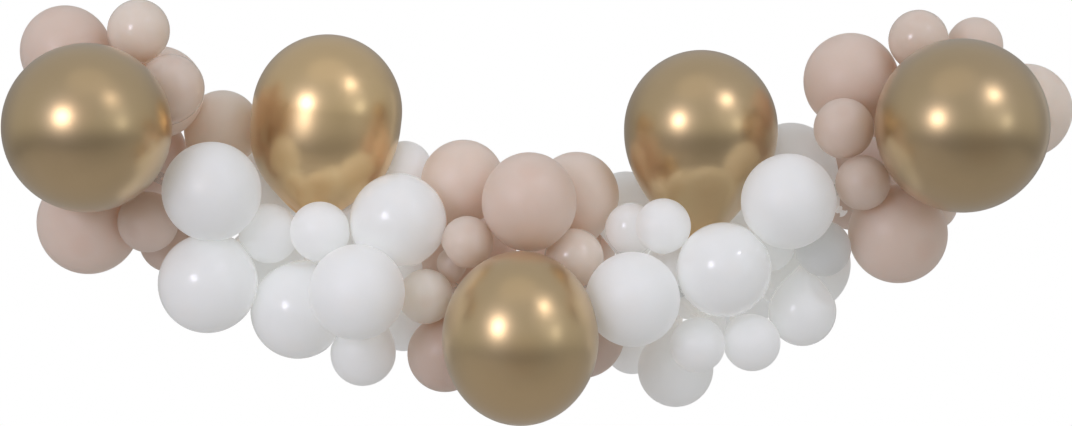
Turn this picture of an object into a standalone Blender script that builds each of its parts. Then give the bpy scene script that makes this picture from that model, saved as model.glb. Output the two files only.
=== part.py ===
"""A balloon garland: gold, blush and white balloons tied in a swag along a clear plastic strip.

Every balloon is a solid of its own. Its place and width are read from the front, its depth is settled
here so that it touches its neighbours, and it is pressed flat where two balloons meet.
Lengths are in millimetres in this script and become metres in the model. X runs to the right,
Y away from the viewer and Z up. The origin is the fixing point at the left end of the strip.
"""
import itertools
import math

import bmesh
import bpy
import numpy as np
from mathutils import Vector

MM = 0.001

# Where the garland is looked at from, on the same axes
EYE_ACROSS = 945
EYE_UP = -187
EYE_DISTANCE = 6000

# Each balloon as it shows from the eye: across and up from the left fixing point, width, depth guess.
# A depth below zero is in front of the strip. It only sets the order, and the settling corrects it.
GOLD = [
    (24, -11, 347, -250),
    (517, 22, 307, 30),
    (913, -443, 321, -260),
    (1283, -14, 315, 20),
    (1819, -7, 356, -230),
]
BLUSH_AT_LEFT = [
    (-18, 144, 187, -60),
    (130, 187, 128, -110),
    (168, 61, 189, 10),
    (196, 69, 139, -130),
    (301, -14, 156, 90),
    (139, -66, 180, 110),
    (28, -205, 211, -60),
    (150, -204, 125, -130),
    (195, -242, 127, 30),
]
BLUSH_IN_MIDDLE = [
    (794, -123, 171, -10),
    (931, -164, 195, -130),
    (1028, -150, 174, 10),
    (804, -246, 107, -130),
    (1023, -279, 122, -90),
    (719, -357, 113, -110),
    (797, -287, 221, 110),
    (759, -474, 155, -60),
    (1039, -435, 176, -20),
]
BLUSH_AT_RIGHT = [
    (1592, 83, 196, -20),
    (1729, 168, 123, -90),
    (1844, 156, 116, -30),
    (1946, 22, 193, 0),
    (1576, -13, 124, -130),
    (1615, -124, 113, -130),
    (1686, -228, 203, -60),
    (1753, -166, 111, 20),
    (1599, -119, 205, 110),
]
WHITE_AT_LEFT = [
    (280, -142, 204, -140),
    (273, -329, 204, -120),
    (397, -228, 123, -90),
    (502, -224, 123, -110),
    (662, -205, 199, -120),
    (578, -348, 197, -190),
    (458, -385, 196, -90),
    (591, -472, 134, -60),
    (674, -406, 123, 60),
    (675, -98, 116, 60),
    (416, -142, 197, 130),
]
WHITE_AT_RIGHT = [
    (1142, -457, 115, 60),
    (1143, -363, 195, -200),
    (1140, -219, 107, -90),
    (1206, -213, 113, -120),
    (1330, -302, 194, -170),
    (1463, -162, 196, -160),
    (1276, -456, 113, -120),
    (1387, -451, 117, -110),
    (1231, -504, 155, -40),
    (1491, -387, 139, -60),
    (1485, -288, 205, 40),
    (1533, -258, 115, -60),
    (1421, -252, 107, -60),
    (1130, -189, 172, 80),
    (1470, -94, 184, 100),
    (1248, -312, 176, 90),
]

# Balloons squeezed from both sides by their neighbours: height as a share of the width that shows
TALL_BALLOONS = {"gold_balloon_03": 1.115, "blush_balloon_11": 1.04}

# Balloon shape, as shares of the radius
CROWN_HEIGHT = 1.03
GOLD_TAPER = 1.69
LATEX_TAPER = 1.45
# Balloons blown fuller toward the neck: taper as a share of the radius, and the power that fills it out
FULL_TAPERS = {"gold_balloon_02": (1.54, 1.665), "gold_balloon_04": (1.66, 1.08)}
LARGE_RADIUS = 140
MEDIUM_RADIUS = 75
# Knot and tail, by size of balloon: neck radius, knot radius, knot height, tail length
LARGE_KNOT = (8, 12, 14, 16)
MEDIUM_KNOT = (6, 9, 10, 12)
SMALL_KNOT = (5, 7.5, 9, 10)
# Facets by size of balloon: sides, crown rings, taper rings
LARGE_FACETS = (16, 4, 4)
MEDIUM_FACETS = (10, 2, 3)
SMALL_FACETS = (8, 2, 2)

# Necks: the ones whose taper shows or that are hemmed in point this way, and the rest are turned
# to where there is room
SET_NECKS = {
    "gold_balloon_02": (-0.12, 0.05, -0.99),
    "gold_balloon_04": (-0.02, 0.2, -0.97),
    "white_balloon_21": (0.02, 0.15, 0.98),
    "blush_balloon_07": (-0.01, 0.89, 0.46),
    "blush_balloon_20": (0.0, 0.71, -0.71),
    "blush_balloon_22": (-0.55, 0.42, -0.72),
    "blush_balloon_25": (-0.45, 0.83, 0.31),
    "white_balloon_24": (-0.22, 0.69, 0.69),
}
NECK_TRIALS = 600
NECK_TO_BACK = 0.3
NECK_CROWDING = 3
# Room that a taper needs: how far along it, and half its width there as a share of the radius
NECK_ROOM = ((0.75, 0.35), (0.9, 0.15), (1.12, 0.06))
TAIL_ROOM = 16
# Pieces of the strip at each end that no neck is tied to
BARE_STRIP_PIECES = 3

# Settling: how close two centres may come, as a share of both radii, and how it is worked out
SQUEEZE = 0.955
SETTLE_ROUNDS = 500
PULL_TO_GUESS = 0.02
# Pressing together: the gap that stays open, how soft a pressed edge is, and the least that is left
TOUCHING_GAP = 0.34
CONTACT_BLEND = 0.06
LEAST_HEIGHT = 0.35
SEARCH_STEPS = (0.5, 0.25, 0.12, 0.06)
SEARCH_TURNS = 8
UNPRESSED = 9.0

# Clear strip that the necks are tied to: half its width, its thickness, its back face and its route
STRIP_HALF_WIDTH = 12
STRIP_THICKNESS = 1.0
STRIP_BACK = -0.8
STRIP_ROUTE = [
    (0, 0),
    (110, -80),
    (280, -165),
    (390, -215),
    (500, -255),
    (670, -305),
    (820, -350),
    (1010, -345),
    (1150, -340),
    (1250, -345),
    (1340, -290),
    (1470, -165),
    (1610, -125),
    (1740, -50),
    (1835, 0),
]
# Straight pieces along the strip, and how many of them the balloons are kept clear of at a time
STRIP_PIECES = 60
STRIP_BLOCK = 2
# End tabs that fasten to a wall or a stand
TAB_HALF_WIDTH = 15
TAB_HALF_LENGTH = 20
TAB_THICKNESS = 2.6
TAB_HOLE_RADIUS = 5
TAB_HOLE_OFFSET = 20
# Clear space behind each tab for what it is screwed to
ROOM_BEHIND_TAB = 6

COLOURS = {
    "gold": ((0.38, 0.27, 0.13, 1), 0.22, 1.0),
    "blush": ((0.60, 0.40, 0.31, 1), 0.38, 0.0),
    "white": ((0.80, 0.80, 0.81, 1), 0.38, 0.0),
    "clear strip": ((0.85, 0.87, 0.88, 1), 0.15, 0.0),
}


def clear_scene():
    """Remove whatever the file opened with."""
    for thing in list(bpy.data.objects):
        bpy.data.objects.remove(thing, do_unlink=True)


def make_collection(name):
    """A collection in the scene for one kind of object."""
    collection = bpy.data.collections.new(name)
    bpy.context.scene.collection.children.link(collection)
    return collection


def make_material(name):
    """A plain surface with the colour, roughness and metallic value of one kind of piece."""
    colour, roughness, metallic = COLOURS[name]
    material = bpy.data.materials.new(name)
    material.use_nodes = True
    shader = material.node_tree.nodes["Principled BSDF"]
    shader.inputs["Base Color"].default_value = colour
    shader.inputs["Roughness"].default_value = roughness
    shader.inputs["Metallic"].default_value = metallic
    return material


def list_balloons():
    """Name, colour and seen place of every balloon, as a dictionary each."""
    groups = [
        ("gold", GOLD),
        ("blush", BLUSH_AT_LEFT + BLUSH_IN_MIDDLE + BLUSH_AT_RIGHT),
        ("white", WHITE_AT_LEFT + WHITE_AT_RIGHT),
    ]
    balloons = []
    for colour, rows in groups:
        for number, (across, up, width, depth) in enumerate(rows, start=1):
            balloons.append({
                "name": f"{colour}_balloon_{number:02d}",
                "colour": colour,
                "seen": np.array([across, up, width / 2], float),
                "depth": float(depth),
            })
    return balloons


def place_at_depth(seen, depth):
    """Real centre and radius of balloons that are seen at given places and stand at given depths."""
    scale = (EYE_DISTANCE + depth) / EYE_DISTANCE
    across = EYE_ACROSS + (seen[:, 0] - EYE_ACROSS) * scale
    up = EYE_UP + (seen[:, 1] - EYE_UP) * scale
    return np.stack([across, depth, up], axis=1), seen[:, 2] * scale


def strip_line():
    """Points along the middle of the strip, on a smooth curve through its route."""
    route = [Vector((x, 0, z)) for x, z in STRIP_ROUTE]
    ends = [route[0] * 2 - route[1]] + route + [route[-1] * 2 - route[-2]]
    spans = len(route) - 1
    points = []
    for step in range(STRIP_PIECES + 1):
        along = step * spans / STRIP_PIECES
        span = min(int(along), spans - 1)
        t = along - span
        a, b, c, d = ends[span:span + 4]
        point = b * 2 + (c - a) * t + (a * 2 - b * 5 + c * 4 - d) * t * t
        point += (b * 3 - a - c * 3 + d) * t * t * t
        points.append(np.array(point * 0.5))
    return np.array(points)


def settle(balloons, line):
    """Move the balloons in depth until they touch without being pressed too far into each other."""
    seen = np.array([balloon["seen"] for balloon in balloons])
    guess = np.array([balloon["depth"] for balloon in balloons])
    depth = guess.copy()
    rank = np.argsort(np.argsort(guess, kind="stable"))
    order = np.sign(rank[:, None] - rank[None, :])
    for _ in range(SETTLE_ROUNDS):
        centres, radii = place_at_depth(seen, depth)
        depth = depth + (guess - depth) * PULL_TO_GUESS
        flat = centres[:, None, [0, 2]] - centres[None, :, [0, 2]]
        flat_distance = np.linalg.norm(flat, axis=2)
        reach = (radii[:, None] + radii[None, :]) * SQUEEZE
        needed = np.sqrt(np.clip(reach ** 2 - flat_distance ** 2, 0, None))
        shortfall = np.clip(needed - order * (depth[:, None] - depth[None, :]), 0, None)
        shortfall[needed == 0] = 0
        np.fill_diagonal(shortfall, 0)
        worst = shortfall.max(axis=1)
        push = (order * shortfall).sum(axis=1) / np.maximum((shortfall > 0).sum(axis=1), 1)
        depth = depth + np.where(worst > 0, push * 0.5, 0)
        depth = keep_off_strip(centres, radii, depth, line)
    centres, radii = place_at_depth(seen, depth)
    for balloon, centre, radius in zip(balloons, centres, radii):
        balloon["centre"] = centre
        balloon["radius"] = radius


def keep_off_strip(centres, radii, depth, line):
    """Push balloons that the strip runs behind or in front of clear of it."""
    away = centres[:, None, [0, 2]] - line[None, :, [0, 2]]
    nearest = np.linalg.norm(away, axis=2).min(axis=1) - STRIP_HALF_WIDTH
    needed = np.sqrt(np.clip((radii * SQUEEZE) ** 2 - np.clip(nearest, 0, None) ** 2, 0, None))
    side = np.where(depth < 0, -1, 1)
    return np.where(np.abs(depth) < needed, side * needed, depth)


def size_of(radius):
    """Facets and knot that suit a balloon of this radius."""
    if radius > LARGE_RADIUS:
        return LARGE_FACETS, LARGE_KNOT
    if radius > MEDIUM_RADIUS:
        return MEDIUM_FACETS, MEDIUM_KNOT
    return SMALL_FACETS, SMALL_KNOT


def taper_of(balloon):
    """Length from the widest place to the point that the taper heads for, and how it is filled out."""
    share = GOLD_TAPER if balloon["colour"] == "gold" else LATEX_TAPER
    share, power = FULL_TAPERS.get(balloon["name"], (share, 1))
    return share * balloon["radius"], power


def neck_end(balloon):
    """Distance from the centre to where the taper ends in the neck."""
    neck_radius = size_of(balloon["radius"])[1][0]
    taper, power = taper_of(balloon)
    return taper * (math.acos(neck_radius / balloon["radius"]) * 2 / math.pi) ** (1 / power)


def spread_directions(count):
    """Directions spread evenly over a sphere."""
    turn = math.pi * (3 - math.sqrt(5))
    directions = []
    for index in range(count):
        height = 1 - 2 * (index + 0.5) / count
        width = math.sqrt(1 - height * height)
        directions.append((width * math.cos(turn * index), width * math.sin(turn * index), height))
    return np.array(directions)


def room_around(spots, centres, radii):
    """How far each spot stands clear of the nearest of some round things."""
    gaps = np.linalg.norm(spots[:, None] - centres[None], axis=2) - radii
    return gaps.min(axis=1, initial=np.inf)


def aim_necks(balloons, line):
    """Turn every neck toward the strip and away from the viewer, where there is room for it."""
    directions = spread_directions(NECK_TRIALS)
    tied = line[BARE_STRIP_PIECES:-BARE_STRIP_PIECES]
    centres = np.array([balloon["centre"] for balloon in balloons])
    radii = np.array([balloon["radius"] for balloon in balloons])
    tails = np.zeros((0, 3))
    for index in np.argsort(-radii, kind="stable"):
        balloon = balloons[index]
        centre, radius = centres[index], radii[index]
        length = neck_end(balloon)
        others = np.delete(np.arange(len(radii)), index)
        to_strip = tied - centre
        to_strip = to_strip[np.argmin(np.linalg.norm(to_strip, axis=1))]
        score = directions @ (to_strip / np.linalg.norm(to_strip))
        score = score + NECK_TO_BACK * directions[:, 1]
        room = np.full(len(directions), np.inf)
        for share, width in NECK_ROOM:
            spots = centre + directions * length * share
            room = np.minimum(room, room_around(spots, centres[others], radii[others]) - width * radius)
            room = np.minimum(room, room_around(spots, line, STRIP_HALF_WIDTH) - width * radius)
        room = np.minimum(room, room_around(centre + directions * length, tails, TAIL_ROOM))
        score = score + NECK_CROWDING * np.minimum(room, 0) / radius
        axis = directions[np.argmax(score)]
        if balloon["name"] in SET_NECKS:
            axis = np.array(SET_NECKS[balloon["name"]])
            axis = axis / np.linalg.norm(axis)
        balloon["axis"] = axis
        tails = np.vstack([tails, centre + axis * length])


def balloon_profile(balloon):
    """Half outline from the crown down to the end of the tail, in the balloon's own axes."""
    radius = balloon["radius"]
    (sides, crown_rings, taper_rings), (neck, knot, knot_height, tail) = size_of(radius)
    # The facets get the true cross-section area, so their corners stand out a little
    bulge = math.sqrt((math.pi / sides) / (math.sin(math.pi / sides) * math.cos(math.pi / sides)))
    outline = [(0, radius * CROWN_HEIGHT)]
    for ring in range(1, crown_rings + 1):
        angle = math.pi / 2 * ring / (crown_rings + 1)
        outline.append((radius * math.sin(angle), radius * CROWN_HEIGHT * math.cos(angle)))
    outline.append((radius, 0))
    end = neck_end(balloon)
    taper, power = taper_of(balloon)
    for ring in range(1, taper_rings + 1):
        drop = end * ring / (taper_rings + 1)
        outline.append((radius * math.cos(math.pi / 2 * (drop / taper) ** power), -drop))
    outline.append((neck, -end))
    outline.append((knot, -end - knot_height / 2))
    outline.append((0, -end - knot_height - tail))
    return [(width * bulge, height) for width, height in outline], sides


def turn_balloon(balloon, material, collection):
    """A pear-shaped balloon with its knot and tail, turned from its profile."""
    profile, sides = balloon_profile(balloon)
    mesh = bpy.data.meshes.new(balloon["name"])
    points = [(x * MM, 0, z * MM) for x, z in profile]
    edges = [(i, i + 1) for i in range(len(points) - 1)]
    mesh.from_pydata(points, edges, [])
    pear = bpy.data.objects.new(balloon["name"], mesh)
    collection.objects.link(pear)
    screw = pear.modifiers.new("Turn", "SCREW")
    screw.steps = sides
    screw.render_steps = sides
    screw.use_merge_vertices = True
    screw.merge_threshold = 0.0001
    screw.use_smooth_shade = True
    evaluated = pear.evaluated_get(bpy.context.evaluated_depsgraph_get())
    solid = bpy.data.meshes.new_from_object(evaluated)
    pear.modifiers.clear()
    pear.data = solid
    solid.name = balloon["name"]
    solid.materials.append(material)
    axis = Vector(-balloon["axis"])
    pear.rotation_mode = "QUATERNION"
    pear.rotation_quaternion = Vector((0, 0, 1)).rotation_difference(axis)
    pear.location = Vector(balloon["centre"]) * MM
    balloon["object"] = pear
    return pear


def corner_array(mesh):
    """A mesh's corners as an array in millimetres."""
    corners = np.zeros(len(mesh.vertices) * 3)
    mesh.vertices.foreach_get("co", corners)
    return corners.reshape(-1, 3) / MM


def measure_balloons(balloons):
    """Read each balloon's corners in the garland's axes, before any pressing."""
    for balloon in balloons:
        pear = balloon["object"]
        turn = np.array(pear.rotation_quaternion.to_matrix())
        balloon["turn"] = turn
        balloon["offsets"] = corner_array(pear.data) @ turn.T
        balloon["offsets"][:, 2] *= TALL_BALLOONS.get(balloon["name"], 1)
        balloon["reach"] = np.linalg.norm(balloon["offsets"], axis=1).max()
        balloon["planes"] = []


def overlap_along(normal, first, second):
    """How far two sets of corners overlap along a direction, and where the first one ends."""
    far_side = (first @ normal).max()
    near_side = (second @ normal).min()
    return far_side - near_side, far_side


def parting_plane(first, second, first_corners, second_corners, give):
    """The plane that parts two convex shapes with the least overlap, or None where they stand clear.

    The first takes the given share of the pressing, and each keeps its centre well on its own side.
    """
    normal = second["centre"] - first["centre"]
    normal = normal / np.linalg.norm(normal)
    best, far_side = overlap_along(normal, first_corners, second_corners)
    for step in SEARCH_STEPS:
        side = np.cross(normal, (0.3, 0.5, 0.81))
        side = side / np.linalg.norm(side)
        other = np.cross(normal, side)
        for turn in range(SEARCH_TURNS):
            angle = 2 * math.pi / SEARCH_TURNS * turn
            trial = normal + step * (math.cos(angle) * side + math.sin(angle) * other)
            trial = trial / np.linalg.norm(trial)
            overlap, far = overlap_along(trial, first_corners, second_corners)
            cut = far - overlap * give
            if cut - first["centre"] @ trial < LEAST_HEIGHT * first["radius"]:
                continue
            if second["centre"] @ trial - cut < LEAST_HEIGHT * second["radius"]:
                continue
            if overlap < best - 0.01:
                best, far_side, normal = overlap, far, trial
    if best < -TOUCHING_GAP:
        return None
    return normal, far_side - best * give


def find_contacts(balloons):
    """Give every pair of balloons that would meet a plane between them."""
    for index, first in enumerate(balloons):
        for second in balloons[index + 1:]:
            distance = np.linalg.norm(second["centre"] - first["centre"])
            if distance > first["reach"] + second["reach"]:
                continue
            give = second["radius"] / (first["radius"] + second["radius"])
            a = first["centre"] + first["offsets"]
            b = second["centre"] + second["offsets"]
            found = parting_plane(first, second, a, b, give)
            if found is None:
                continue
            normal, cut = found
            first["planes"].append((normal, cut - first["centre"] @ normal))
            second["planes"].append((-normal, second["centre"] @ normal - cut))


def block_around(points, half_length, half_width, behind):
    """An upright block around some points of the strip, as thick as a tab and the room behind it."""
    low = points.min(axis=0) - (half_length, TAB_THICKNESS, half_width)
    high = points.max(axis=0) + (half_length, behind, half_width)
    centre = (low + high) / 2
    corners = np.array(list(itertools.product(*zip(low, high))))
    reach = np.linalg.norm(corners - centre, axis=1).max()
    return {"centre": centre, "radius": 0.0, "corners": corners, "reach": reach}


def strip_blocks(line):
    """Short straight blocks that together hold the whole strip and its end tabs."""
    blocks = []
    for start in range(0, STRIP_PIECES, STRIP_BLOCK):
        points = line[start:start + STRIP_BLOCK + 1]
        blocks.append(block_around(points, STRIP_HALF_WIDTH, STRIP_HALF_WIDTH, 0))
    for end in (line[:1], line[-1:]):
        half_length = TAB_HALF_LENGTH + TAB_HALF_WIDTH
        blocks.append(block_around(end, half_length, TAB_HALF_WIDTH, ROOM_BEHIND_TAB))
    return blocks


def find_strip_contacts(balloons, line):
    """Press each balloon clear of the stretches of the strip that it would meet."""
    for block in strip_blocks(line):
        for balloon in balloons:
            distance = np.linalg.norm(block["centre"] - balloon["centre"])
            if distance > balloon["reach"] + block["reach"]:
                continue
            corners = balloon["centre"] + balloon["offsets"]
            found = parting_plane(balloon, block, corners, block["corners"], 1)
            if found is None:
                continue
            normal, cut = found
            balloon["planes"].append((normal, cut - balloon["centre"] @ normal))


def smooth_least(a, b):
    """The smaller of two shares, rounded where they are close, and never above either."""
    blend = np.clip(CONTACT_BLEND - np.abs(a - b), 0, None) / CONTACT_BLEND
    return np.minimum(a, b) - blend * blend * CONTACT_BLEND / 4


def press(balloon):
    """Press a balloon flat against each of its contact planes."""
    offsets = balloon["offsets"]
    share = np.ones(len(offsets))
    for normal, height in balloon["planes"]:
        along = offsets @ normal
        limit = np.full(len(offsets), UNPRESSED)
        facing = along > height / UNPRESSED
        limit[facing] = (height - TOUCHING_GAP / 2) / along[facing]
        share = smooth_least(share, limit)
    pressed = (offsets * share[:, None]) @ balloon["turn"] * MM
    mesh = balloon["object"].data
    mesh.vertices.foreach_set("co", pressed.ravel())
    mesh.update()


def flat_outline(name, loops, thickness, back, collection):
    """A flat solid from closed outlines in X and Z, its back face at the given Y."""
    curve = bpy.data.curves.new(name, "CURVE")
    curve.dimensions = "2D"
    curve.fill_mode = "BOTH"
    curve.extrude = thickness / 2 * MM
    for loop in loops:
        spline = curve.splines.new("POLY")
        spline.points.add(len(loop) - 1)
        spline.use_cyclic_u = True
        for point, (x, z) in zip(spline.points, loop):
            point.co = (x * MM, z * MM, 0, 1)
    shape = bpy.data.objects.new(name, curve)
    collection.objects.link(shape)
    shape.rotation_euler = (math.pi / 2, 0, 0)
    shape.location = (0, (back - thickness / 2) * MM, 0)
    bpy.context.view_layer.update()
    evaluated = shape.evaluated_get(bpy.context.evaluated_depsgraph_get())
    mesh = bpy.data.meshes.new_from_object(evaluated)
    build = bmesh.new()
    build.from_mesh(mesh)
    bmesh.ops.remove_doubles(build, verts=build.verts, dist=0.00001)
    bmesh.ops.recalc_face_normals(build, faces=build.faces)
    build.to_mesh(mesh)
    build.free()
    place = shape.matrix_world.copy()
    bpy.data.objects.remove(shape, do_unlink=True)
    solid = bpy.data.objects.new(name, mesh)
    solid.matrix_world = place
    collection.objects.link(solid)
    return solid


def strip_outline(line):
    """The strip's two long edges as one closed outline."""
    flat = line[:, [0, 2]]
    along = np.gradient(flat, axis=0)
    along = along / np.linalg.norm(along, axis=1)[:, None]
    across = np.stack([-along[:, 1], along[:, 0]], axis=1) * STRIP_HALF_WIDTH
    return np.vstack([flat + across, (flat - across)[::-1]])


def circle(x, z, radius, sides):
    """Points around a circle in X and Z."""
    angles = [2 * math.pi * side / sides for side in range(sides)]
    return [(x + radius * math.cos(angle), z + radius * math.sin(angle)) for angle in angles]


def tab_outlines(end, outward):
    """A rounded end tab and the round hole through it."""
    x, z = end
    tip = x + outward * TAB_HALF_LENGTH
    left, right = sorted((x - outward * TAB_HALF_LENGTH, tip))
    corners = []
    for centre, start in ((right, -90), (left, 90)):
        for step in range(7):
            angle = math.radians(start + step * 30)
            x_offset = TAB_HALF_WIDTH * math.cos(angle)
            corners.append((centre + x_offset, z + TAB_HALF_WIDTH * math.sin(angle)))
    return [corners, circle(x + outward * TAB_HOLE_OFFSET, z, TAB_HOLE_RADIUS, 12)]


def make_strip(line, material, collection, cutters):
    """The clear strip with its two end tabs joined to it."""
    strip = flat_outline("clear_strip", [strip_outline(line)], STRIP_THICKNESS, STRIP_BACK, collection)
    strip.data.materials.append(material)
    for side, end, outward in (("left", line[0], -1), ("right", line[-1], 1)):
        loops = tab_outlines((end[0], end[2]), outward)
        tab = flat_outline(f"{side} tab", loops, TAB_THICKNESS, 0, cutters)
        tab.hide_render = True
        tab.display_type = "WIRE"
        join = strip.modifiers.new(f"Join {side} tab", "BOOLEAN")
        join.operation = "UNION"
        join.object = tab
    return strip


def build_garland():
    """Model the whole garland."""
    clear_scene()
    parts = make_collection("Balloon garland")
    cutters = make_collection("Cutters")
    materials = {name: make_material(name) for name in COLOURS}
    balloons = list_balloons()
    line = strip_line()
    settle(balloons, line)
    aim_necks(balloons, line)
    for balloon in balloons:
        turn_balloon(balloon, materials[balloon["colour"]], parts)
    measure_balloons(balloons)
    find_contacts(balloons)
    find_strip_contacts(balloons, line)
    for balloon in balloons:
        press(balloon)
    make_strip(line, materials["clear strip"], parts, cutters)
    return balloons


if __name__ == "__main__":
    build_garland()
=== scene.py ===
"""The looks of the balloon garland: latex skins with knots and tails, a clear holed strip, and light.

Every balloon is turned afresh from the profile of its faceted solid, whose centre, radius and direction
are read from the frame. It is then pressed flat where it meets its neighbours. Lengths are in metres.
"""
import itertools
import math

import bmesh
import bpy
import numpy as np
from mathutils import Matrix, Vector


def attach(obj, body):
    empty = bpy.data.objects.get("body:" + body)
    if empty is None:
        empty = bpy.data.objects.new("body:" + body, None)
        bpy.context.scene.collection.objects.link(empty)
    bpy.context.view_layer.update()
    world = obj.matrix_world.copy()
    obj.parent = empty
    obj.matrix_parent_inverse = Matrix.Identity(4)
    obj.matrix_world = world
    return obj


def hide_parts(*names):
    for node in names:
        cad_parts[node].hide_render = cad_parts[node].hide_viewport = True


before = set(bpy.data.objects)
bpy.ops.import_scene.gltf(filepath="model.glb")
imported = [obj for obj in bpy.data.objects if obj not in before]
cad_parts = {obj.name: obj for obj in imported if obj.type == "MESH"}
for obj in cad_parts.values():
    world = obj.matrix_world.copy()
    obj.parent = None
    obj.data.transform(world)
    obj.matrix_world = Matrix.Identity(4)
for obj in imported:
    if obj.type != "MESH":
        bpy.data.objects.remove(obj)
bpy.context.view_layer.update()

MM = 0.001

# The photograph's width in pixels, a pixel's size on the garland, and where it was taken from
IMAGE_WIDTH = 1072
METRES_PER_PIXEL = 0.00205
EYE = Vector((0.945, -6.0, -0.186))
# The camera's sensor in millimetres
SENSOR_WIDTH = 36

# Balloon shape, as shares of the radius
CROWN_HEIGHT = 1.03
GOLD_TAPER = 1.69
LATEX_TAPER = 1.45
# Balloons squeezed from both sides by their neighbours: height as a share of the width that shows
TALL_BALLOONS = {"gold_balloon_03": 1.115, "blush_balloon_11": 1.04}
# Balloons blown fuller toward the neck: taper as a share of the radius, and the power that fills it out
FULL_TAPERS = {"gold_balloon_02": (1.54, 1.665), "gold_balloon_04": (1.66, 1.08)}
# Balloons above these radii are large or medium, and the rest are small
LARGE_RADIUS = 0.140
MEDIUM_RADIUS = 0.075
# Knot and tail, by size of balloon: neck radius, knot radius, knot height, tail length
LARGE_KNOT = (0.008, 0.012, 0.014, 0.016)
MEDIUM_KNOT = (0.006, 0.009, 0.010, 0.012)
SMALL_KNOT = (0.005, 0.0075, 0.009, 0.010)
# Fineness by size of balloon: sides, crown rings, taper rings
LARGE_RINGS = (144, 44, 52)
MEDIUM_RINGS = (80, 26, 32)
SMALL_RINGS = (60, 18, 24)
# Corners of a turned skin that are closer than this are one
SPIN_SEAM = 0.000001

# Sides of the faceted balloons by size, and the corner radius above which one is medium
LARGE_SIDES = 16
MEDIUM_SIDES = 10
SMALL_SIDES = 8
MEDIUM_CORNER = 0.079
# Corners this close are one, and those of the widest ring agree this closely in their distance
SAME_PLACE = 0.00001
RING_TOLERANCE = 0.0002

# Knot: the waist over it (width as a share of the neck, drop as a share of the knot's height), the core
# that it is rolled round (share of the neck), the roll's half height (share of the knot's height), the
# arc of the roll each way in degrees, and the throat below it (share of the neck)
KNOT_WAIST = (0.85, 0.06)
KNOT_CORE = 0.5
KNOT_ROLL = 0.42
KNOT_ARC = 70
KNOT_STEPS = 6
THROAT = 0.62
# Tail, flaring to its rolled lip and hollow at its open end: share of its length, width in neck radii
TAIL_OUTLINE = (
    (0.3, 0.72),
    (0.6, 0.95),
    (0.8, 1.12),
    (0.88, 1.26),
    (0.95, 1.3),
    (1.0, 1.22),
    (0.97, 0.9),
    (0.9, 0.0),
)
# How much the tail is flattened and widened, as shares, and how far below the throat that is complete
TAIL_FLATNESS = 0.55
TAIL_SPREAD = 0.35
TAIL_PRESS_LENGTH = 0.003

# Pleats where the skin is gathered into the knot: how many, where they start as a share of the taper, and
# their depth as a share of the width
PLEATS = 9
PLEAT_START = 0.72
PLEAT_DEPTH = 0.16
# A second, finer set of pleats: how many more, and its share of the depth
EXTRA_PLEATS = 4
EXTRA_DEPTH = 0.5
# How far the pleats are turned, in radians for each metre of radius, so that few balloons match
PLEAT_TURN = 40

# Thick latex: the spot at the crown starts at this height in radii, is full after this much more and is
# this thick, and the neck thickens from this share of the taper
CROWN_SPOT_START = 0.985
CROWN_SPOT_FADE = 0.04
CROWN_SPOT_THICKNESS = 0.15
NECK_THICK_START = 0.55

# Pressing together: the gap that stays open, how soft a pressed edge is, and the least that is left
TOUCHING_GAP = 0.0003
CONTACT_BLEND = 0.06
LEAST_HEIGHT = 0.35
# Search for the direction that parts two balloons best: its steps, the trials in each, and a direction that
# no two balloons face each other in, from which the two ways across are worked out
SEARCH_STEPS = (0.5, 0.25, 0.12, 0.06)
SEARCH_TURNS = 8
ACROSS = (0.3, 0.5, 0.81)
# Share that stands for a corner that nothing presses
UNPRESSED = 9.0

# Balloons at the back that only show as slivers: colour, across and up as seen, radius, least depth
BACK_BALLOONS = {
    "back_white_balloon_1": ("white", 0.564, -0.238, 0.092, 0.06),
    "back_white_balloon_2": ("white", 0.390, -0.287, 0.086, 0.06),
    "back_white_balloon_3": ("white", 1.367, -0.234, 0.070, 0.06),
    "back_white_balloon_4": ("white", 1.359, -0.365, 0.074, 0.06),
    "back_white_balloon_5": ("white", 0.682, -0.297, 0.030, -0.14),
    "back_white_balloon_6": ("white", 1.290, -0.420, 0.045, 0.02),
    "back_blush_balloon_1": ("blush", 1.019, -0.273, 0.092, 0.06),
    "back_blush_balloon_2": ("blush", 0.773, -0.289, 0.031, -0.10),
}
# Necks at the back that don't point inward to the nearest balloon
BACK_NECKS = {"back_blush_balloon_2": (0.05, 0.0, -1.0)}
# How far back one is moved at a time, and how close two centres may come as a share of both radii
BACK_DEPTH_STEP = 0.004
BACK_SQUEEZE = 0.94

# Latex blown tight enough to shine, where the rest stays satin
SHINY_BALLOONS = (
    "white_balloon_02",
    "white_balloon_05",
    "white_balloon_07",
    "white_balloon_14",
    "white_balloon_16",
    "white_balloon_21",
    "blush_balloon_02",
    "blush_balloon_04",
    "blush_balloon_14",
    "blush_balloon_20",
)

# Painted light and shade per skin, as a share of its colour: below one where the balloon sits in shade,
# above one where it catches more light, and a little for how full it is blown
PAINTED_SHADE_BY_BALLOON = {
    "gold_balloon_02": 1.32,
    "gold_balloon_03": 1.06,
    "gold_balloon_04": 1.05,
    "gold_balloon_05": 0.95,
    "blush_balloon_01": 0.96,
    "blush_balloon_02": 1.14,
    "blush_balloon_03": 1.14,
    "blush_balloon_05": 1.22,
    "blush_balloon_06": 0.84,
    "blush_balloon_08": 0.80,
    "blush_balloon_09": 0.75,
    "blush_balloon_10": 1.08,
    "blush_balloon_12": 1.12,
    "blush_balloon_14": 1.14,
    "blush_balloon_15": 1.28,
    "blush_balloon_17": 0.81,
    "blush_balloon_18": 0.78,
    "blush_balloon_22": 1.20,
    "blush_balloon_23": 0.93,
    "blush_balloon_24": 0.90,
    "blush_balloon_27": 0.82,
    "white_balloon_01": 0.96,
    "white_balloon_08": 0.96,
    "white_balloon_10": 1.10,
    "white_balloon_20": 0.97,
    "white_balloon_23": 0.62,
}

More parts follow.
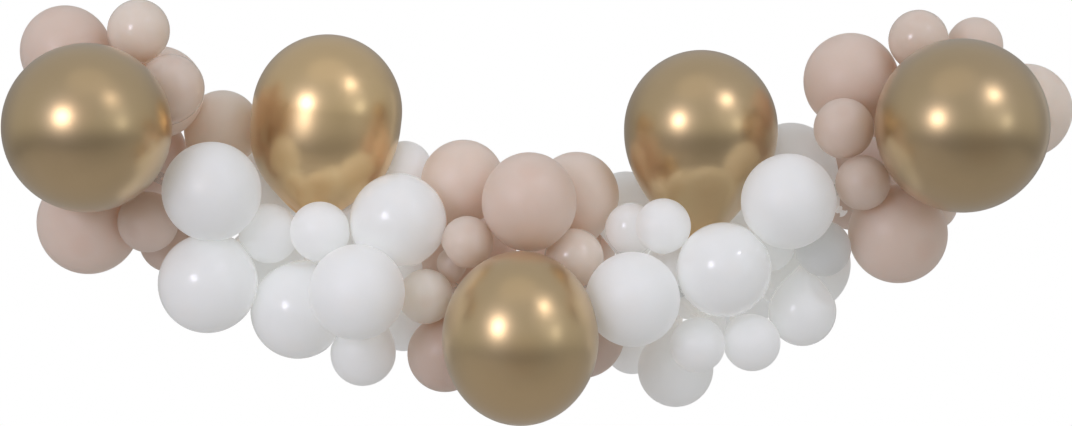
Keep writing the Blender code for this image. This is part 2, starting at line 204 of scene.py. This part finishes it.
# The strip, and how many blocks stand for it where the balloons are kept clear of it
STRIP_NODE = "clear_strip"
STRIP_WIDTH = 0.024
STRIP_BLOCKS = 32
# Holes punched along the strip for the necks, a large one and a small one by turns
TIE_HOLE_RADII = (0.0042, 0.0026)
TIE_HOLE_SPACING = 0.0125
TIE_HOLE_START = 0.020
TIE_HOLE_SIDES = 20
TIE_HOLE_BAR_LENGTH = 0.010
# How far the strip's sharp edges are eased, the bend in radians that makes an edge sharp, and the bend
# below which two faces are one flat
EASED_EDGE = 0.0002
SHARP_EDGE = 0.8
FLAT_FACE = 0.01


def srgb(code):
    """A hex colour as linear red, green, blue and alpha."""
    values = [int(code[i:i + 2], 16) / 255 for i in (1, 3, 5)]
    return tuple(v / 12.92 if v <= 0.04045 else ((v + 0.055) / 1.055) ** 2.4 for v in values) + (1.0,)


# Reading the faceted balloons

def merged_corners(node):
    """A node's corners, each once, and the corners next to each."""
    copy = bmesh.new()
    copy.from_mesh(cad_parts[node].data)
    bmesh.ops.remove_doubles(copy, verts=copy.verts, dist=SAME_PLACE)
    copy.verts.ensure_lookup_table()
    corners = np.array([tuple(vert.co) for vert in copy.verts])
    nearby = [[edge.other_vert(vert).index for edge in vert.link_edges] for vert in copy.verts]
    copy.free()
    return corners, nearby


def distance_off(corners, start, end):
    """How far each corner is off the line through two of them."""
    span = corners[end] - corners[start]
    span = span / np.linalg.norm(span)
    away = corners - corners[start]
    return np.linalg.norm(away - np.outer(away @ span, span), axis=1)


def find_poles(corners, nearby):
    """Crown and tail tip: the pair of corners whose line has the most corners at one widest distance."""
    busiest = sorted(range(len(corners)), key=lambda index: -len(nearby[index]))[:2]
    best = 0
    for start in busiest:
        for end in range(len(corners)):
            if end == start:
                continue
            off_axis = distance_off(corners, start, end)
            ring = np.sum(off_axis > off_axis.max() - RING_TOLERANCE)
            if ring > best:
                best = ring
                poles = (start, end)
    return poles


def cad_bulge(corner_radius):
    """How far the corners of a faceted ring stand out beyond the round one of the same area."""
    sides = SMALL_SIDES
    if corner_radius > LARGE_RADIUS:
        sides = LARGE_SIDES
    elif corner_radius > MEDIUM_CORNER:
        sides = MEDIUM_SIDES
    angle = math.pi / sides
    return math.sqrt(angle / (math.sin(angle) * math.cos(angle)))


def read_balloon(node):
    """Centre, radius and neck direction of a balloon, from its two poles and its widest ring."""
    corners, nearby = merged_corners(node)
    tall = TALL_BALLOONS.get(node, 1)
    corners[:, 2] /= tall
    poles = find_poles(corners, nearby)
    off_axis = distance_off(corners, *poles)
    tail = min(poles, key=lambda pole: off_axis[nearby[pole]].mean())
    crown = poles[0] if tail == poles[1] else poles[1]
    axis = corners[tail] - corners[crown]
    axis = axis / np.linalg.norm(axis)
    widest = np.argmax(off_axis)
    centre = corners[crown] + axis * ((corners[widest] - corners[crown]) @ axis)
    corner_radius = off_axis[widest]
    centre[2] *= tall
    return {
        "node": node,
        "name": node + "_latex",
        "colour": node.split("_")[0],
        "centre": centre,
        "radius": corner_radius / cad_bulge(corner_radius),
        "axis": axis,
        "tall": tall,
    }


def back_balloon(name, others):
    """A balloon seen only as a sliver, set back until it just rests against the others."""
    colour, across, up, radius, depth = BACK_BALLOONS[name]
    while True:
        scale = (depth - EYE.y) / -EYE.y
        centre = np.array([EYE.x + (across - EYE.x) * scale, depth, EYE.z + (up - EYE.z) * scale])
        gaps = [
            np.linalg.norm(centre - other["centre"]) - BACK_SQUEEZE * (radius + other["radius"])
            for other in others
        ]
        if min(gaps) > 0:
            break
        depth += BACK_DEPTH_STEP
    nearest = others[int(np.argmin(gaps))]["centre"]
    inward = (nearest[0] - centre[0], -abs(centre[1]), nearest[2] - centre[2])
    axis = np.array(BACK_NECKS.get(name, inward))
    return {
        "node": None,
        "name": name,
        "colour": colour,
        "centre": centre,
        "radius": radius,
        "axis": axis / np.linalg.norm(axis),
        "tall": 1,
    }


# Turning the smooth skins

def size_of(radius):
    """Fineness and knot that suit a balloon of this radius."""
    if radius > LARGE_RADIUS:
        return LARGE_RINGS, LARGE_KNOT
    if radius > MEDIUM_RADIUS:
        return MEDIUM_RINGS, MEDIUM_KNOT
    return SMALL_RINGS, SMALL_KNOT


def taper_of(balloon):
    """Length from the widest place to the point that the taper heads for, and how it is filled out."""
    share = GOLD_TAPER if balloon["colour"] == "gold" else LATEX_TAPER
    share, power = FULL_TAPERS.get(balloon["node"], (share, 1))
    return share * balloon["radius"], power


def neck_end(balloon):
    """Distance from the centre to where the taper ends in the neck."""
    neck_radius = size_of(balloon["radius"])[1][0]
    taper, power = taper_of(balloon)
    return taper * (math.acos(neck_radius / balloon["radius"]) * 2 / math.pi) ** (1 / power)


def skin_profile(balloon):
    """Half outline from the crown, down the taper, over the knot and along the flared tail."""
    radius = balloon["radius"]
    (_, crown_rings, taper_rings), (neck, knot, knot_height, tail) = size_of(radius)
    outline = [(0, radius * CROWN_HEIGHT)]
    for ring in range(1, crown_rings + 1):
        angle = math.pi / 2 * ring / crown_rings
        outline.append((radius * math.sin(angle), radius * CROWN_HEIGHT * math.cos(angle)))
    taper, power = taper_of(balloon)
    end = neck_end(balloon)
    for ring in range(1, taper_rings + 1):
        drop = end * ring / taper_rings
        outline.append((radius * math.cos(math.pi / 2 * (drop / taper) ** power), -drop))
    waist, drop = KNOT_WAIST
    outline.append((neck * waist, -end - knot_height * drop))
    core = neck * KNOT_CORE
    for step in range(KNOT_STEPS + 1):
        angle = math.radians(-KNOT_ARC + step * 2 * KNOT_ARC / KNOT_STEPS)
        width = core + (knot - core) * math.cos(angle)
        outline.append((width, -end - knot_height * (0.5 + KNOT_ROLL * math.sin(angle))))
    throat = end + knot_height
    outline.append((neck * THROAT, -throat))
    for share, width in TAIL_OUTLINE:
        outline.append((neck * width, -throat - tail * share))
    return outline


def turn_skin(balloon):
    """The skin's mesh, spun from its profile about the balloon's own Z axis."""
    sides = size_of(balloon["radius"])[0][0]
    skin = bmesh.new()
    points = [skin.verts.new((width, 0, height)) for width, height in skin_profile(balloon)]
    edges = [skin.edges.new(pair) for pair in zip(points, points[1:])]
    bmesh.ops.spin(
        skin, geom=points + edges, cent=(0, 0, 0), axis=(0, 0, 1), dvec=(0, 0, 0),
        angle=2 * math.pi, steps=sides, use_merge=True, use_duplicate=False,
    )
    bmesh.ops.remove_doubles(skin, verts=skin.verts, dist=SPIN_SEAM)
    bmesh.ops.recalc_face_normals(skin, faces=skin.faces)
    mesh = bpy.data.meshes.new(balloon["name"])
    skin.to_mesh(mesh)
    skin.free()
    mesh.shade_smooth()
    return mesh


def corner_array(mesh):
    """A mesh's corners as an array."""
    corners = np.zeros(len(mesh.vertices) * 3)
    mesh.vertices.foreach_get("co", corners)
    return corners.reshape(-1, 3)


def gather_pleats(corners, balloon):
    """Fold the skin into pleats toward the knot, and flatten the tail."""
    end = neck_end(balloon)
    gathered = np.clip((-corners[:, 2] / end - PLEAT_START) / (1 - PLEAT_START), 0, 1)
    angle = np.arctan2(corners[:, 1], corners[:, 0])
    turn = balloon["radius"] * PLEAT_TURN
    finer = np.cos((PLEATS + EXTRA_PLEATS) * angle + 2 * turn)
    wave = np.cos(PLEATS * angle + turn) + EXTRA_DEPTH * finer
    above_knot = corners[:, 2] > -end - 1 * MM
    fold = 1 + PLEAT_DEPTH * gathered ** 2 * wave * above_knot
    corners[:, :2] *= fold[:, None]
    knot_height = size_of(balloon["radius"])[1][2]
    in_tail = np.clip((-corners[:, 2] - end - knot_height) / TAIL_PRESS_LENGTH, 0, 1)
    corners[:, 1] *= 1 - TAIL_FLATNESS * in_tail
    corners[:, 0] *= 1 + TAIL_SPREAD * in_tail
    return corners


def stretch_thickness(corners, balloon):
    """How thick the latex is: thin round the middle, a little thicker at the crown, thick at the knot."""
    radius = balloon["radius"]
    height = corners[:, 2] / radius
    crown = np.clip((height - CROWN_SPOT_START) / CROWN_SPOT_FADE, 0, 1) * CROWN_SPOT_THICKNESS
    end = neck_end(balloon) / radius
    neck = np.clip((-height / end - NECK_THICK_START) / (1 - NECK_THICK_START), 0, 1) ** 2
    return crown + neck


def turn_of(axis):
    """Rotation that turns the balloon's own Z axis to point at its crown."""
    return np.array(Vector((0, 0, 1)).rotation_difference(Vector(-axis)).to_matrix())


def make_skin(balloon):
    """Turn a skin and keep its corners about the balloon's centre, in the garland's axes."""
    mesh = turn_skin(balloon)
    corners = corner_array(mesh)
    thickness = stretch_thickness(corners, balloon)
    shine = np.full(len(corners), float(balloon["node"] in SHINY_BALLOONS))
    # Painted light and shade: each balloon's own share that darkens or brightens its colour
    painted_shade = np.full(len(corners), PAINTED_SHADE_BY_BALLOON.get(balloon["node"], 1.0))
    for name, values in (("latex_thickness", thickness), ("latex_shine", shine), ("latex_painted_shade", painted_shade)):
        attribute = mesh.attributes.new(name, "FLOAT", "POINT")
        attribute.data.foreach_set("value", values.astype(np.float32))
    offsets = gather_pleats(corners, balloon) @ turn_of(balloon["axis"]).T
    offsets[:, 2] *= balloon["tall"]
    balloon["mesh"] = mesh
    balloon["offsets"] = offsets
    balloon["reach"] = np.linalg.norm(offsets, axis=1).max()
    balloon["planes"] = []


# Pressing the skins together

def overlap_along(normal, first, second):
    """How far two sets of corners overlap along a direction, and where the first one ends."""
    far_side = (first @ normal).max()
    near_side = (second @ normal).min()
    return far_side - near_side, far_side


def parting_plane(first, second, first_corners, second_corners, give):
    """The plane that parts two convex shapes with the least overlap, or None where they stand clear."""
    normal = second["centre"] - first["centre"]
    normal = normal / np.linalg.norm(normal)
    best, far_side = overlap_along(normal, first_corners, second_corners)
    for step in SEARCH_STEPS:
        side = np.cross(normal, ACROSS)
        side = side / np.linalg.norm(side)
        other = np.cross(normal, side)
        for turn in range(SEARCH_TURNS):
            angle = 2 * math.pi / SEARCH_TURNS * turn
            trial = normal + step * (math.cos(angle) * side + math.sin(angle) * other)
            trial = trial / np.linalg.norm(trial)
            overlap, far = overlap_along(trial, first_corners, second_corners)
            cut = far - overlap * give
            if cut - first["centre"] @ trial < LEAST_HEIGHT * first["radius"]:
                continue
            if second["centre"] @ trial - cut < LEAST_HEIGHT * second["radius"]:
                continue
            if overlap < best - SAME_PLACE:
                best, far_side, normal = overlap, far, trial
    if best < -TOUCHING_GAP:
        return None
    return normal, far_side - best * give


def find_contacts(balloons):
    """Give every pair of balloons that would meet a plane between them."""
    for index, first in enumerate(balloons):
        for second in balloons[index + 1:]:
            distance = np.linalg.norm(second["centre"] - first["centre"])
            if distance > first["reach"] + second["reach"]:
                continue
            give = second["radius"] / (first["radius"] + second["radius"])
            first_corners = first["centre"] + first["offsets"]
            second_corners = second["centre"] + second["offsets"]
            found = parting_plane(first, second, first_corners, second_corners, give)
            if found is None:
                continue
            normal, cut = found
            first["planes"].append((normal, cut - first["centre"] @ normal))
            second["planes"].append((-normal, second["centre"] @ normal - cut))


def strip_blocks():
    """Upright blocks that together hold the whole strip."""
    corners = merged_corners(STRIP_NODE)[0]
    low = corners.min(axis=0)
    high = corners.max(axis=0)
    edges = np.linspace(low[0], high[0], STRIP_BLOCKS + 1)
    margin = edges[1] - edges[0]
    blocks = []
    for left, right in zip(edges, edges[1:]):
        near = corners[(corners[:, 0] > left - margin / 2) & (corners[:, 0] < right + margin / 2)]
        box_low = np.array([left, low[1], near[:, 2].min()])
        box_high = np.array([right, high[1], near[:, 2].max()])
        box = np.array(list(itertools.product(*zip(box_low, box_high))))
        centre = (box_low + box_high) / 2
        reach = np.linalg.norm(box - centre, axis=1).max()
        blocks.append({"centre": centre, "radius": 0.0, "corners": box, "reach": reach})
    return blocks


def find_strip_contacts(balloons):
    """Press each balloon clear of the stretches of the strip that it would meet."""
    for block in strip_blocks():
        for balloon in balloons:
            distance = np.linalg.norm(block["centre"] - balloon["centre"])
            if distance > balloon["reach"] + block["reach"]:
                continue
            corners = balloon["centre"] + balloon["offsets"]
            found = parting_plane(balloon, block, corners, block["corners"], 1)
            if found is None:
                continue
            normal, cut = found
            balloon["planes"].append((normal, cut - balloon["centre"] @ normal))


def smooth_least(a, b):
    """The smaller of two shares, rounded where they are close, and never above either."""
    blend = np.clip(CONTACT_BLEND - np.abs(a - b), 0, None) / CONTACT_BLEND
    return np.minimum(a, b) - blend * blend * CONTACT_BLEND / 4


def press(balloon):
    """Press a skin flat against each of its contact planes, and put it in its place."""
    offsets = balloon["offsets"]
    share = np.ones(len(offsets))
    for normal, height in balloon["planes"]:
        along = offsets @ normal
        limit = np.full(len(offsets), UNPRESSED)
        facing = along > height / UNPRESSED
        limit[facing] = (height - TOUCHING_GAP / 2) / along[facing]
        share = smooth_least(share, limit)
    placed = balloon["centre"] + offsets * share[:, None]
    balloon["mesh"].vertices.foreach_set("co", placed.ravel())
    balloon["mesh"].update()


# The strip

def strip_middle():
    """Points along the middle of the strip, halfway between corners that face each other across it."""
    corners = merged_corners(STRIP_NODE)[0]
    middles = []
    for corner in corners:
        apart = np.linalg.norm(corners - corner, axis=1)
        facing = np.argmin(np.abs(apart - STRIP_WIDTH))
        if abs(apart[facing] - STRIP_WIDTH) < SAME_PLACE:
            middles.append((corner + corners[facing]) / 2)
    # Rounded to 0.1 mm, so that the strip's front and back give one point each time
    return np.unique(np.round(np.array(middles)[:, [0, 2]], 4), axis=0)


def tie_hole_bars():
    """A round bar through the place of every tie hole."""
    middles = strip_middle()
    steps = np.linalg.norm(np.diff(middles, axis=0), axis=1)
    along = np.concatenate([[0], np.cumsum(steps)])
    bars = bmesh.new()
    places = np.arange(TIE_HOLE_START, along[-1] - TIE_HOLE_START, TIE_HOLE_SPACING)
    for index, place in enumerate(places):
        radius = TIE_HOLE_RADII[index % 2]
        x = np.interp(place, along, middles[:, 0])
        z = np.interp(place, along, middles[:, 1])
        bmesh.ops.create_cone(
            bars, cap_ends=True, segments=TIE_HOLE_SIDES, radius1=radius, radius2=radius,
            depth=TIE_HOLE_BAR_LENGTH,
            matrix=Matrix.Translation((x, 0, z)) @ Matrix.Rotation(math.pi / 2, 4, "X"),
        )
    return bars


def mesh_object(name, build):
    """An object from a finished build mesh, linked to the scene."""
    bmesh.ops.recalc_face_normals(build, faces=build.faces)
    mesh = bpy.data.meshes.new(name)
    build.to_mesh(mesh)
    build.free()
    thing = bpy.data.objects.new(name, mesh)
    bpy.context.scene.collection.objects.link(thing)
    return thing


def punched_strip():
    """The strip's mesh with the tie holes punched through it and every edge eased."""
    sheet = bmesh.new()
    sheet.from_mesh(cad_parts[STRIP_NODE].data)
    bmesh.ops.remove_doubles(sheet, verts=sheet.verts, dist=SAME_PLACE)
    bmesh.ops.dissolve_limit(sheet, angle_limit=FLAT_FACE, verts=sheet.verts, edges=sheet.edges)
    blank = mesh_object("strip_blank", sheet)
    bars = mesh_object("tie_hole_bars", tie_hole_bars())
    punch = blank.modifiers.new("Tie holes", "BOOLEAN")
    punch.operation = "DIFFERENCE"
    punch.object = bars
    bpy.context.view_layer.update()
    mesh = bpy.data.meshes.new_from_object(blank.evaluated_get(bpy.context.evaluated_depsgraph_get()))
    for thing in (blank, bars):
        bpy.data.objects.remove(thing, do_unlink=True)
    mesh.name = "clear_holed_strip"
    eased = bmesh.new()
    eased.from_mesh(mesh)
    sharp = [edge for edge in eased.edges if edge.calc_face_angle(0) > SHARP_EDGE]
    bmesh.ops.bevel(
        eased, geom=sharp, offset=EASED_EDGE, segments=2, profile=0.5, affect="EDGES", material=-1,
    )
    bmesh.ops.recalc_face_normals(eased, faces=eased.faces)
    eased.to_mesh(mesh)
    eased.free()
    return mesh


# Finishes

# Drifting roughness of each finish: lowest, highest and the size of its patches
GOLD_SATIN = (0.28, 0.31, 80 * MM)
LATEX_SATIN = (0.36, 0.44, 50 * MM)
STRIP_SATIN = (0.08, 0.25, 6 * MM)
FLOOR_SATIN = (0.6, 0.75, 400 * MM)
SHINY_ROUGHNESS = 0.14
# Unevenness of each finish: size of its waves, strength and depth
GOLD_WAVES = (90 * MM, 0.05, 1.2 * MM)
LATEX_WAVES = (30 * MM, 0.15, 0.5 * MM)
STRIP_WAVES = (12 * MM, 0.2, 0.3 * MM)
# Size of the clouds in the latex, and the values that most of a noise lies between
CLOUD_SIZE = 60 * MM
NOISE_LOW = 0.3
NOISE_HIGH = 0.7


def add_node(tree, kind, settings=None, links=None):
    """Add a shader node, set its properties and inputs, and link other nodes' outputs to it."""
    node = tree.nodes.new(kind)
    for key, value in (settings or {}).items():
        if isinstance(key, str) and hasattr(node, key):
            setattr(node, key, value)
        else:
            node.inputs[key].default_value = value
    for key, output in (links or {}).items():
        tree.links.new(output, node.inputs[key])
    return node


def new_material(name):
    """An empty material with its node tree and its Principled shader."""
    material = bpy.data.materials.new(name)
    material.use_nodes = True
    tree = material.node_tree
    return material, tree, tree.nodes["Principled BSDF"]


def set_shader(shader, values):
    """Set the shader's own sockets."""
    for name, value in values.items():
        shader.inputs[name].default_value = value


def latex_colour(tree, thin, thick, cloudy):
    """Colour of stretched latex: cloudy where thin, and denser toward the crown and the knot."""
    place = add_node(tree, "ShaderNodeTexCoord")
    thickness = add_node(tree, "ShaderNodeAttribute", {"attribute_name": "latex_thickness"})
    clouds = add_node(
        tree, "ShaderNodeTexNoise", {"Scale": 1 / CLOUD_SIZE, "Detail": 3.0, "Roughness": 0.55},
        {"Vector": place.outputs["Object"]},
    )
    base = add_node(
        tree, "ShaderNodeMix", {"data_type": "RGBA", 6: thin, 7: cloudy},
        {0: clouds.outputs["Fac"]},
    )
    dense = add_node(
        tree, "ShaderNodeMix", {"data_type": "RGBA", 7: thick},
        {0: thickness.outputs["Fac"], 6: base.outputs[2]},
    )
    # Painted light and shade: the colour made darker or paler by the balloon's own share
    painted_shade = add_node(tree, "ShaderNodeAttribute", {"attribute_name": "latex_painted_shade"})
    shade = add_node(
        tree, "ShaderNodeHueSaturation", {}, {"Value": painted_shade.outputs["Fac"], "Color": dense.outputs[2]},
    )
    return place, shade.outputs["Color"]


def satin_roughness(tree, place, low, high, size):
    """Roughness that drifts between two values over patches of the given size."""
    patches = add_node(
        tree, "ShaderNodeTexNoise", {"Scale": 1 / size, "Detail": 2.0},
        {"Vector": place.outputs["Object"]},
    )
    drift = add_node(
        tree, "ShaderNodeMapRange",
        {"From Min": NOISE_LOW, "From Max": NOISE_HIGH, "To Min": low, "To Max": high},
        {"Value": patches.outputs["Fac"]},
    )
    return drift.outputs["Result"]


def faint_waves(tree, place, size, strength, depth):
    """Faint unevenness of a stretched skin or a moulded face."""
    waves = add_node(
        tree, "ShaderNodeTexNoise", {"Scale": 1 / size, "Detail": 2.0},
        {"Vector": place.outputs["Object"]},
    )
    bump = add_node(
        tree, "ShaderNodeBump", {"Strength": strength, "Distance": depth},
        {"Height": waves.outputs["Fac"]},
    )
    return bump.outputs["Normal"]


def gold_chrome_latex():
    """Chrome latex: metal flakes under a clear rubber skin, so a soft mirror with a paler rim."""
    material, tree, shader = new_material("gold chrome latex")
    place, colour = latex_colour(tree, srgb("#caac78"), srgb("#d8a561"), srgb("#c4a671"))
    tree.links.new(colour, shader.inputs["Base Color"])
    tree.links.new(satin_roughness(tree, place, *GOLD_SATIN), shader.inputs["Roughness"])
    tree.links.new(faint_waves(tree, place, *GOLD_WAVES), shader.inputs["Normal"])
    set_shader(shader, {"Metallic": 1.0, "Coat Weight": 1.0, "Coat Roughness": 0.42, "Coat IOR": 2.0})
    return material


def satin_latex(name, thin, thick, cloudy, scatter, glow, painted_glow):
    """Standard latex: satin rubber that scatters light, with a faint painted glow that stands in for the
    light passing through it.
    """
    material, tree, shader = new_material(name)
    place, colour = latex_colour(tree, thin, thick, cloudy)
    tree.links.new(colour, shader.inputs["Base Color"])
    satin = satin_roughness(tree, place, *LATEX_SATIN)
    shine = add_node(tree, "ShaderNodeAttribute", {"attribute_name": "latex_shine"})
    roughness = add_node(
        tree, "ShaderNodeMix", {"data_type": "FLOAT", 3: SHINY_ROUGHNESS},
        {0: shine.outputs["Fac"], 2: satin},
    )
    tree.links.new(roughness.outputs[0], shader.inputs["Roughness"])
    tree.links.new(faint_waves(tree, place, *LATEX_WAVES), shader.inputs["Normal"])
    set_shader(shader, {
        "IOR": 1.5,
        "Subsurface Weight": 1.0,
        "Subsurface Radius": scatter,
        "Subsurface Scale": 0.15,
        # Painted glow: the skin gives off a little light of its own, standing in for light passing through
        # it and lifting its creases
        "Emission Color": glow,
        "Emission Strength": painted_glow,
    })
    return material


def blush_latex():
    """Blush latex, dusty pink, redder where light has passed through it, with a faint warm painted glow."""
    return satin_latex(
        "blush latex",
        thin=srgb("#e5d2c6"),
        thick=srgb("#d2ad99"),
        cloudy=srgb("#e1cdc0"),
        scatter=(1.0, 0.85, 0.78),
        glow=srgb("#ffcfa9"),
        painted_glow=0.025,
    )


def white_latex():
    """White latex, cool and slightly milky, with a painted glow that lifts its creases."""
    return satin_latex(
        "white latex",
        thin=srgb("#e9ebeb"),
        thick=srgb("#ede9e3"),
        cloudy=srgb("#e6e9e9"),
        scatter=(1.0, 0.95, 0.9),
        glow=srgb("#fffdfa"),
        painted_glow=0.13,
    )


def clear_plastic():
    """Moulded clear strip: smooth, with fine scuffs that catch the light."""
    material, tree, shader = new_material("clear moulded strip")
    place = add_node(tree, "ShaderNodeTexCoord")
    tree.links.new(satin_roughness(tree, place, *STRIP_SATIN), shader.inputs["Roughness"])
    tree.links.new(faint_waves(tree, place, *STRIP_WAVES), shader.inputs["Normal"])
    set_shader(shader, {
        "Base Color": srgb("#f4f7f8"),
        "IOR": 1.49,
        "Transmission Weight": 0.85,
    })
    return material


# Pieces

def add_piece(mesh, material, nodes):
    """Show a finished mesh as a piece that rides with the garland."""
    mesh.materials.clear()
    mesh.materials.append(material)
    piece = bpy.data.objects.new(mesh.name, mesh)
    bpy.context.scene.collection.objects.link(piece)
    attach(piece, "root")
    if nodes:
        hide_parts(*nodes)


def make_balloons():
    """Every balloon's skin, pressed against its neighbours."""
    nodes = sorted(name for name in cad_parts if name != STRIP_NODE)
    balloons = [read_balloon(node) for node in nodes]
    for name in BACK_BALLOONS:
        balloons.append(back_balloon(name, balloons))
    for balloon in balloons:
        make_skin(balloon)
    find_contacts(balloons)
    find_strip_contacts(balloons)
    finishes = {"gold": gold_chrome_latex(), "blush": blush_latex(), "white": white_latex()}
    for balloon in balloons:
        press(balloon)
        replaced = [balloon["node"]] if balloon["node"] else []
        add_piece(balloon["mesh"], finishes[balloon["colour"]], replaced)


def set_camera():
    """The camera at the photograph's place, level and square to the garland."""
    lens = bpy.data.cameras.new("photo camera")
    lens.sensor_width = SENSOR_WIDTH
    lens.lens = SENSOR_WIDTH * -EYE.y / (IMAGE_WIDTH * METRES_PER_PIXEL)
    camera = bpy.data.objects.new("photo camera", lens)
    camera.location = EYE
    camera.rotation_euler = (math.pi / 2, 0, 0)
    bpy.context.scene.collection.objects.link(camera)
    bpy.context.scene.camera = camera


# Light and surroundings

# Lamps: shape, place, aim, width, height, colour, power in watts, spread in degrees
LAMPS = {
    "left softbox": ("ELLIPSE", (-1.44, -3.74, 0.74), (0.9, 0, -0.2), 1.15, 1.15, "#ecebff", 24, 180),
    "left glow": ("ELLIPSE", (-1.47, -3.79, 0.76), (0.9, 0, -0.2), 1.9, 1.9, "#f8eeff", 13, 180),
    "left wide glow": ("ELLIPSE", (-1.50, -3.84, 0.76), (0.9, 0, -0.2), 3.2, 3.2, "#fbeef0", 6, 180),
    "right softbox": ("ELLIPSE", (6.75, -5.90, 6.00), (1.45, 0, -0.2), 1.50, 1.50, "#f2eeff", 0.90, 18),
    "right glow": ("ELLIPSE", (6.80, -5.95, 6.05), (0.9, 0, -0.2), 4.3, 4.3, "#f8eef6", 30, 180),
    "right panel": ("ELLIPSE", (3.85, -2.90, 0.95), (0.9, 0, -0.2), 2.9, 2.7, "#e4ebf6", 3.7, 180),
    "far right panel": ("ELLIPSE", (7.50, -4.90, 0.70), (0.9, 0, -0.2), 1.9, 1.9, "#e4ecff", 13, 180),
    "top softbox": ("ELLIPSE", (0.70, -1.70, 2.90), (0.7, 0, 0), 3.4, 2.6, "#fff4ea", 3.6, 180),
    "rim light": ("RECTANGLE", (4.60, 3.20, 0.20), (0.9, 0, -0.2), 0.5, 2.6, "#ffffff", 2, 180),
}
# Floor: its height, its side, how far back its middle lies, its painted shade near the front and its pale
# colour further back
FLOOR_HEIGHT = -1.5
FLOOR_SIZE = 9
FLOOR_BACK = 2.1
FLOOR_NEAR_PAINTED_SHADE = "#b4b2ae"
FLOOR_FAR = "#dad8d5"
# Where the floor's painted shade near the front ends and its pale colour starts, in metres from its middle
FLOOR_PAINTED_SHADE_SPAN = (-2.4, -0.2)
# Studio: its shades in front, low down, behind and overhead, and its strength
SKY_FRONT = "#b2b3b2"
SKY_LOW = "#787672"
SKY_BACK = "#888684"
SKY_TOP = "#b0b1b4"
SKY_STRENGTH = 1.17
# Where each shade of the studio starts and is full, along an axis of the direction looked in
SKY_PARTS = {
    "below": ("Z", 0.02, -0.30),
    "behind": ("Y", 0.1, 0.8),
    "above": ("Z", 0.0, 0.9),
}


def add_lamp(name):
    """A soft light that faces the garland."""
    shape, place, aim, width, height, colour, power, spread = LAMPS[name]
    light = bpy.data.lights.new(name, "AREA")
    light.shape = shape
    light.size = width
    light.size_y = height
    light.energy = power
    light.spread = math.radians(spread)
    light.color = srgb(colour)[:3]
    lamp = bpy.data.objects.new(name, light)
    lamp.location = place
    lamp.rotation_euler = (Vector(place) - Vector(aim)).to_track_quat("Z", "Y").to_euler()
    bpy.context.scene.collection.objects.link(lamp)


def set_world():
    """A pale studio, darker below and behind, that the camera itself sees as plain white."""
    world = bpy.data.worlds.new("studio")
    bpy.context.scene.world = world
    world.use_nodes = True
    tree = world.node_tree
    tree.nodes.clear()
    place = add_node(tree, "ShaderNodeTexCoord")
    axes = add_node(tree, "ShaderNodeSeparateXYZ", {}, {0: place.outputs["Generated"]})
    share = {}
    for part, (axis, start, full) in SKY_PARTS.items():
        share[part] = add_node(
            tree, "ShaderNodeMapRange",
            {"From Min": start, "From Max": full, "interpolation_type": "SMOOTHSTEP"},
            {"Value": axes.outputs[axis]},
        ).outputs["Result"]
    front = add_node(
        tree, "ShaderNodeMix", {"data_type": "RGBA", 6: srgb(SKY_FRONT), 7: srgb(SKY_LOW)},
        {0: share["below"]},
    )
    level = add_node(
        tree, "ShaderNodeMix", {"data_type": "RGBA", 7: srgb(SKY_BACK)},
        {0: share["behind"], 6: front.outputs[2]},
    )
    sky = add_node(
        tree, "ShaderNodeMix", {"data_type": "RGBA", 7: srgb(SKY_TOP)},
        {0: share["above"], 6: level.outputs[2]},
    )
    studio = add_node(tree, "ShaderNodeBackground", {"Strength": SKY_STRENGTH}, {"Color": sky.outputs[2]})
    white = add_node(tree, "ShaderNodeBackground", {"Color": (1, 1, 1, 1), "Strength": 1.0})
    rays = add_node(tree, "ShaderNodeLightPath")
    shown = add_node(
        tree, "ShaderNodeMixShader", {},
        {0: rays.outputs["Is Camera Ray"], 1: studio.outputs[0], 2: white.outputs[0]},
    )
    add_node(tree, "ShaderNodeOutputWorld", {}, {"Surface": shown.outputs[0]})


def add_floor():
    """A pale floor, well below the garland, with painted shade that darkens it toward the front."""
    plane = bmesh.new()
    bmesh.ops.create_grid(plane, x_segments=1, y_segments=1, size=FLOOR_SIZE / 2)
    bmesh.ops.translate(plane, verts=plane.verts, vec=(EYE.x, FLOOR_BACK, FLOOR_HEIGHT))
    mesh = bpy.data.meshes.new("floor")
    plane.to_mesh(mesh)
    plane.free()
    material, tree, shader = new_material("pale painted floor")
    place = add_node(tree, "ShaderNodeTexCoord")
    tree.links.new(satin_roughness(tree, place, *FLOOR_SATIN), shader.inputs["Roughness"])
    along = add_node(tree, "ShaderNodeSeparateXYZ", {}, {0: place.outputs["Object"]})
    # Painted shade: the floor's colour darkens toward the front, standing in for shade there
    near_end, far_start = FLOOR_PAINTED_SHADE_SPAN
    far = add_node(
        tree, "ShaderNodeMapRange",
        {"From Min": near_end, "From Max": far_start, "interpolation_type": "SMOOTHSTEP"},
        {"Value": along.outputs["Y"]},
    )
    paint = add_node(
        tree, "ShaderNodeMix", {"data_type": "RGBA", 6: srgb(FLOOR_NEAR_PAINTED_SHADE), 7: srgb(FLOOR_FAR)},
        {0: far.outputs["Result"]},
    )
    tree.links.new(paint.outputs[2], shader.inputs["Base Color"])
    mesh.materials.append(material)
    floor = bpy.data.objects.new("floor", mesh)
    bpy.context.scene.collection.objects.link(floor)


set_camera()
make_balloons()
add_piece(punched_strip(), clear_plastic(), [STRIP_NODE])
add_floor()
for lamp_name in LAMPS:
    add_lamp(lamp_name)
set_world()
bpy.context.scene.view_settings.view_transform = "Standard"
